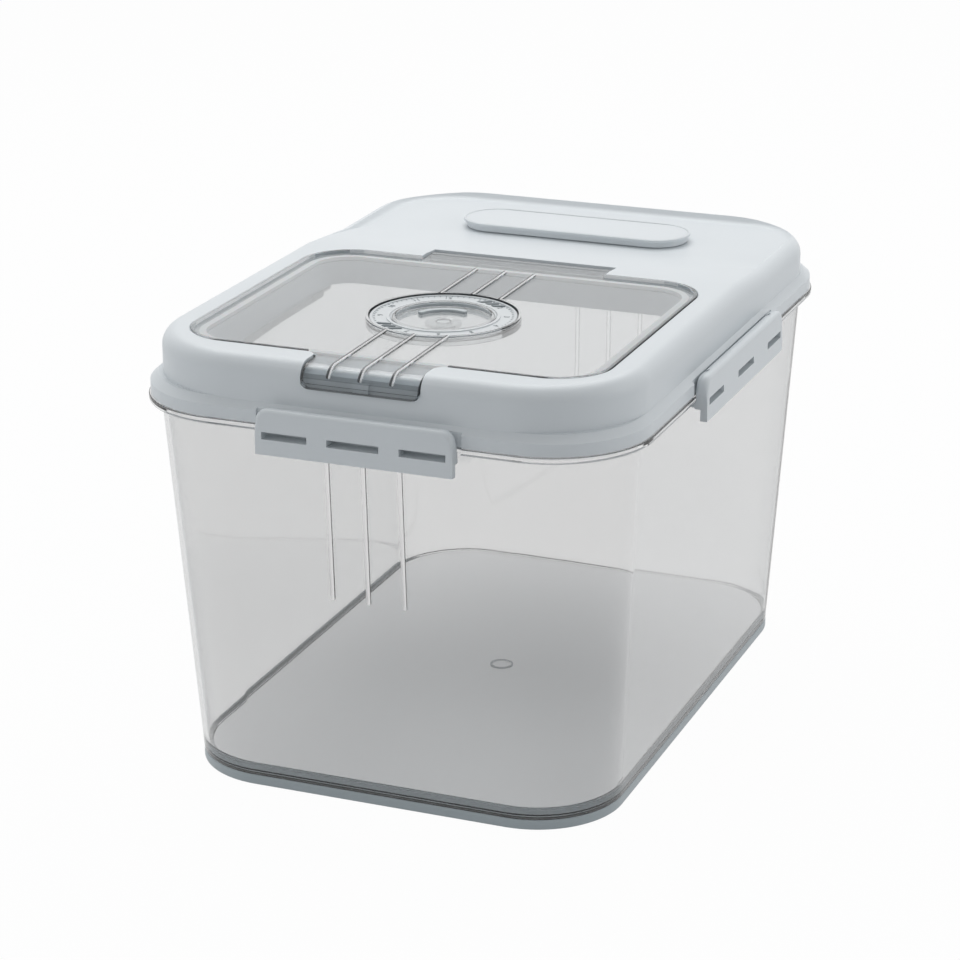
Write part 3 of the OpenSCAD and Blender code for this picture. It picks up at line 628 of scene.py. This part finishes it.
# ribs: the front three curl over the bend, the rear three stop short of the hinge
for front, start, end in ((True, -0.1062, BEND_Y), (False, -0.0394, 0.0100)):
    rib = bar_of(0.0013, abs(end - start), (0, (start + end) / 2, 0.2223),
                 (math.pi / 2, 0, 0), 20)
    pick(rib, "FACE", lambda c, n: n.y * (-1 if front else 1) > 0.9)
    if front:
        curl = math.radians(52)
        bpy.ops.mesh.spin(steps=6, angle=-curl, center=(0, BEND_Y, BEND_Z), axis=(1, 0, 0))
        bpy.ops.mesh.extrude_region_move(TRANSFORM_OT_translate={
            "value": (0, -0.0015 * math.cos(curl), -0.0015 * math.sin(curl))})
    bpy.ops.mesh.region_to_loop()
    bpy.ops.mesh.bevel(offset=0.0011, segments=3, affect="EDGES")
    bpy.ops.mesh.select_all(action="SELECT")
    bpy.ops.mesh.normals_make_consistent(inside=False)
    bpy.ops.object.mode_set(mode="OBJECT")
    for across in RIBS:
        combine(flap, copied(rib, "flap_rib", (across, 0, 0)), how="UNION")
    bpy.data.objects.remove(rib)
# hollow of the cup, its well under the bowl, and the holes for the stem and the rod
combine(flap, bar_of(0.0366, 0.0100, (0, DIAL_Y, 0.2246), sides=96),
        bar_of(0.0253, 0.0030, (0, DIAL_Y, 0.2205), sides=96),
        bar_of(0.00405, 0.0200, (0, DIAL_Y, 0.2200)),
        bar_of(0.00155, 0.1020, HINGE, ALONG_X))
# the plate ends here, and its two tabs begin
PLATE_FRONT, PLATE_REAR = -0.1535, 0.0197
for y in (PLATE_FRONT, PLATE_REAR):
    slice_at(flap, (0, y, 0), (0, 1, 0))
shade(flap)
dress(flap, "flap", "clear", flap_clear, "flap")
EDGE, TAB, RIB, CUP, RIM = 1, 2, 3, 4, 5
# painted shade: a dark, nearly opaque tint for the dark lines along the flap's edges
flap.data.materials.append(adjust(
    clear_plastic("flap edge painted shade", "2A2F32", "101314", 2, 0.1, 0.00001),
    "Transmission Weight", 0.3))
# the tabs take a darker tint, a painted shade, and are less glossy than the plate
flap.data.materials.append(adjust(
    clear_plastic("flap tab painted shade", "C8CDD0", "30363A", 5, 0.22, 0.00001),
    "Specular IOR Level", 0.15))
# the ribs keep their cutter's grain; their right shoulders are a rough white, a painted highlight
flap.data.materials.append(adjust(
    clear_plastic("flap rib painted highlight", "FFFFFF", "FFFFFF", 3, 0.3, 0.00001),
    "Transmission Weight", 0.3))
# the cup's floor takes a paler tint, a painted light, and the rim a darker one, a painted shade
flap.data.materials.append(clear_plastic("flap cup painted light", "F5F6F6", "8C9296", 5, 0.02,
                                         0.00001))
flap.data.materials.append(adjust(
    clear_plastic("flap rim painted shade", "8E9497", "30363A", 4, 0.15, 0.00001),
    "Specular IOR Level", 0.15))
for face in flap.data.polygons:
    c, n = face.center, face.normal
    upright = abs(n.z) < 0.5
    on_rim = c.z > 0.2227
    on_tab = c.y < -0.1531
    from_dial = math.hypot(c.x, c.y - DIAL_Y)
    from_bend = math.hypot(c.y - BEND_Y, c.z - BEND_Z) if c.y < BEND_Y else c.z - BEND_Z
    if (min(abs(c.x - k) for k in RIBS) < 0.00135 and from_bend > 0.00902
            and from_dial > 0.0380 and c.y < 0.0150):
        # a rib: painted shade on its left and top, a painted highlight on its right shoulder, and
        # the tabs' painted shade below that
        face.material_index = EDGE if n.x < 0.2 else RIB if n.x < 0.8 else TAB
    elif upright and (c.x > 0.1057 or abs(c.y + 0.1531) < 0.0005
                      or (0.0364 < from_dial < 0.0367 and c.y > -0.0850)):
        # painted shade on the plate's right and front edges, and on the rear of the cup's wall
        face.material_index = EDGE
    elif on_tab and ((abs(c.x) > 0.0287 and abs(n.x) > 0.3) or c.z < 0.2131):
        # painted shade on the finger tab's sides and lower edge
        face.material_index = EDGE
    elif on_rim and c.x > 0.1054 and n.z < 0.95:
        # painted shade on the rim's outer shoulder, at the right
        face.material_index = EDGE
    elif upright and (c.x < -0.1040 or 0.0178 < c.y < PLATE_REAR):
        # the left and rear edges, whose dark from the gap beside them is covered with the ribs'
        # rough white, a painted light
        face.material_index = RIB
    elif on_rim and c.x > 0.1040:
        # painted shade on the rest of the rim at the right
        face.material_index = RIM
    elif c.y < PLATE_FRONT or c.y > PLATE_REAR or (c.z > 0.2238 and c.x > -0.1040):
        # the tabs' painted shade on the two tabs, and on the rim's top along the front and the
        # rear
        face.material_index = TAB
    elif from_dial < 0.0254:
        # painted light on the cup's floor, under the bowl
        face.material_index = CUP

# ---- Dial ---------------------------------------------------------------------
# A date dial in the flap's cup: a milky ring printed with the months' numbers, and a
# clear bowl that is turned by a raised arc on its floor. A clip holds the bowl below.


def joined(pieces, name):
    """Several pieces made into one mesh."""
    only(pieces[0])
    for piece in pieces:
        piece.select_set(True)
    bpy.ops.object.join()
    pieces[0].name = pieces[0].data.name = name
    return pieces[0]


def round_dial(piece, radius, angle, height):
    """Sets a piece round the dial's middle, at an angle clockwise from its rear."""
    return turned(piece, z=-angle, place=(radius * math.sin(angle),
                  DIAL_Y + radius * math.cos(angle), height))


milky = moulded("milky dial styrene", "D6DADC", 0.35, 0.0003)
ring = bar_of(0.0359, 0.0027, (0, DIAL_Y, 0.22125), sides=96)
ring.name = ring.data.name = "month_ring"
combine(ring, bar_of(0.0250, 0.0100, (0, DIAL_Y, 0.2210), sides=96),
        bar_of(0.0261, 0.0030, (0, DIAL_Y, 0.2230), sides=96))
soften(ring, 0.0003, 2)
channel = bar_of(0.0345, 0.0010, (0, DIAL_Y, 0.2226), sides=96)
combine(ring, combine(channel, bar_of(0.0278, 0.0030, (0, DIAL_Y, 0.2226), sides=96)))
shade(ring)
dress(ring, "dial_ring", "dial", milky, "dial_ring")

# grey print and moulded grip bars in the ring's channel
grey = moulded("grey dial print", "848B8F", 0.5, 0.0003)
marks = []
for month in range(12):
    rest()
    bpy.ops.object.text_add()
    digits = bpy.context.object
    digits.data.body = str(month + 1)
    digits.data.size = 0.0040
    digits.data.extrude = 0.0001
    digits.data.align_x = digits.data.align_y = "CENTER"
    bpy.ops.object.convert(target="MESH")
    modify(digits, "WELD", merge_threshold=0.00001)
    marks.append(round_dial(digits, 0.0306, math.radians(30 * month + 12), 0.22215))
for tick in range(72):
    low = block("tick", (-0.00018, -0.0005, -0.0001), (0.00018, 0.0005, 0.0001))
    marks.append(round_dial(low, 0.0337, math.radians(5 * tick), 0.22215))
marks = joined(marks, "month_print")
dress(marks, "dial_ring", "dial", grey)
bars = []
for middle in (215, 28):
    for shift in (-9, 0, 9):
        grip = block("grip", (-0.0007, -0.0034, -0.0003), (0.0007, 0.0034, 0.0003))
        soften(grip, 0.0002, 2)
        turned(grip, z=math.radians(-40))
        bars.append(round_dial(grip, 0.0311, math.radians(middle + shift), 0.2224))
bars = joined(bars, "ring_grips")
dress(bars, "dial_ring", "dial", grey)

# the clear bowl: a lip on the ring's step, a floor, and a stem through the flap
bowl_clear = clear_plastic("clear bowl styrene", "EEF0F1", "8C9296", 5, 0.03, 0.00001)
bowl = bar_of(0.0247, 0.0034, (0, DIAL_Y, 0.2209), sides=96)
bowl.name = bowl.data.name = "finger_bowl"
pick(bowl, "FACE", lambda c, n: n.z > 0.9)
bpy.ops.mesh.inset(thickness=0.0013)
raise_faces(-0.0027)
bpy.ops.object.mode_set(mode="OBJECT")
soften(bowl, 0.0003, 2)
lip = bar_of(0.0258, 0.0007, (0, DIAL_Y, 0.22225), sides=96)
combine(lip, bar_of(0.0240, 0.0030, (0, DIAL_Y, 0.2222), sides=96))
combine(bowl, lip, bar_of(0.0038, 0.0036, (0, DIAL_Y, 0.2176), sides=24), how="UNION")
shade(bowl)
dress(bowl, "dial_disc", "clear", bowl_clear, "dial_disc")
# the stem keeps the cutter's grain, and a darker tint that matches the shade round it, a painted
# shade
bowl.data.materials.append(clear_plastic("grained stem painted shade", "D0D3D4", "8C9296", 5, 0.6,
                                         0.00001))
for face in bowl.data.polygons:
    if face.center.z < 0.21915 and math.hypot(face.center.x, face.center.y - DIAL_Y) < 0.0042:
        face.material_index = 1
# the raised arc that a finger pushes, from one angle to the other in degrees
ARC = (66, 162)
arc = bar_of(0.0167, 0.0016, (0, 0, 0.2206), sides=72)
combine(arc, bar_of(0.0139, 0.0030, (0, 0, 0.2206), sides=72))
for turn in (ARC[0], ARC[1] - 180):
    slice_at(arc, (0, 0, 0), (-math.sin(math.radians(turn)), math.cos(math.radians(turn)), 0),
             use_fill=True, clear_inner=True)
round_edges(arc, 0.0010, 4, lambda a, b: abs(a.z - b.z) > 0.001
            and min(abs(math.degrees(math.atan2(a.y, a.x)) - t) for t in ARC) < 1)
modify(arc, "WELD", merge_threshold=0.00002)
soften(arc, 0.0003, 2)
arc.name = arc.data.name = "finger_arc"
round_dial(arc, 0, 0, 0)
shade(arc)
dress(arc, "dial_disc", "clear", moulded("grey arc styrene", "BEC4C7", 0.4, 0.0003))
# the clip on the stem, below the flap
clip = copy_of("dial_retainer", "bowl_clip")
soften(clip, 0.0002, 2)
shade(clip)
dress(clip, "dial_disc", "dial", bowl_clear, "dial_retainer")

# ---- Latches ------------------------------------------------------------------
# Four latch bars in the lid's polypropylene, each on a steel pin through the lid's
# lugs. Three slots leave the hooks under them free to spring over the flange.

# how far a latch opens, in degrees
LATCH_OPEN = 128


def latch_bar(length, slots):
    """One latch, beside an outer edge at y = 0."""
    bar = block("latch", (-length / 2, -0.0014, 0.1864), (length / 2, 0.0050, 0.2026))
    round_edges(bar, 0.0060, 8,
                lambda a, b: abs(a.y - b.y) > 0.005 and a.z > 0.202 and b.z > 0.202)
    round_edges(bar, 0.0031, 6, lambda a, b: a.y < 0 and b.y < 0 and min(a.z, b.z) > 0.1900)
    round_edges(bar, 0.0020, 5, lambda a, b: min(a.y, b.y) > 0.0045 and min(a.z, b.z) > 0.1900)
    lower = block("finger lip", (-length / 2, 0.0015, 0.1806), (length / 2, 0.0050, 0.1870))
    combine(bar, lower, how="UNION")
    for middle, span in slots:
        hook = block("hook", (middle - span / 2 - 0.001, -0.0037, 0.1864),
                     (middle + span / 2 + 0.001, 0.0000, 0.1880))
        barb = block("barb", (middle - span / 2 - 0.001, -0.0040, 0.1865),
                     (middle + span / 2 + 0.001, -0.0030, 0.1898))
        pick(barb, "VERT", lambda p: p.z > 0.189 and p.y > -0.0035)
        bpy.ops.transform.translate(value=(0, -0.0005, 0))
        bpy.ops.object.mode_set(mode="OBJECT")
        combine(bar, hook, barb, how="UNION")
        combine(bar, block("slot", (middle - span / 2, -0.0020, 0.1881),
                           (middle + span / 2, 0.0060, 0.1917)))
    for s in (-1, 1):
        x = s * (length / 2 - LUG_IN)
        combine(bar, block("lug pocket", (x - 0.0018, -0.0050, 0.1924),
                           (x + 0.0018, 0.0042, 0.2018)))
        swing = block("swing room", (x - 0.0018, -0.0024, 0), (x + 0.0018, 0.0024, 0.0060))
        turned(swing, x=math.radians(180 - LATCH_OPEN), place=(0, PIN_OUT, PIN_Z))
        combine(bar, swing)
    shade(bar)
    return bar


short = latch_bar(0.0986, ((0, 0.026), (-0.0345, 0.023), (0.0345, 0.023)))
long = latch_bar(0.1260, ((0, 0.026), (-0.0482, 0.023), (0.0482, 0.023)))
for side, turn, edge, length in LATCHES:
    source = short if length < 0.1 else long
    bar = copied(source, "latch_bar_" + side, (0, edge, 0), turn)
    dress(bar, "latch_" + side, "lid", lid_plastic, "latch_" + side)
bpy.data.objects.remove(short)
bpy.data.objects.remove(long)

# ---- Pins ---------------------------------------------------------------------
# Drawn stainless steel: the flap's hinge rod and the four latch pins, pressed into
# the lid. Fine lines run along them from the die.

steel = bpy.data.materials.new("drawn stainless steel")
steel.use_nodes = True
tree = steel.node_tree
shader = tree.nodes["Principled BSDF"]
place = add(tree, "ShaderNodeTexCoord")
drawn = add(tree, "ShaderNodeTexNoise", {"Vector": place.outputs["Object"],
            "Scale": 1 / 0.0005, "Detail": 2})
streak = add(tree, "ShaderNodeMapRange", {"Value": drawn.outputs["Fac"], "To Min": 0.22,
             "To Max": 0.38})
tree.links.new(streak.outputs[0], shader.inputs["Roughness"])
shader.inputs["Base Color"].default_value = tone("C4C6C8")
shader.inputs["Metallic"].default_value = 1
for node in ("flap_hinge_rod", "latch_pin_front", "latch_pin_back", "latch_pin_left",
             "latch_pin_right"):
    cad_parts[node].data.materials.clear()
    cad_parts[node].data.materials.append(steel)

# ---- Finish -------------------------------------------------------------------
# The tub is left selected, and the scene is brought up to date.

only(tub)
bpy.context.view_layer.update()
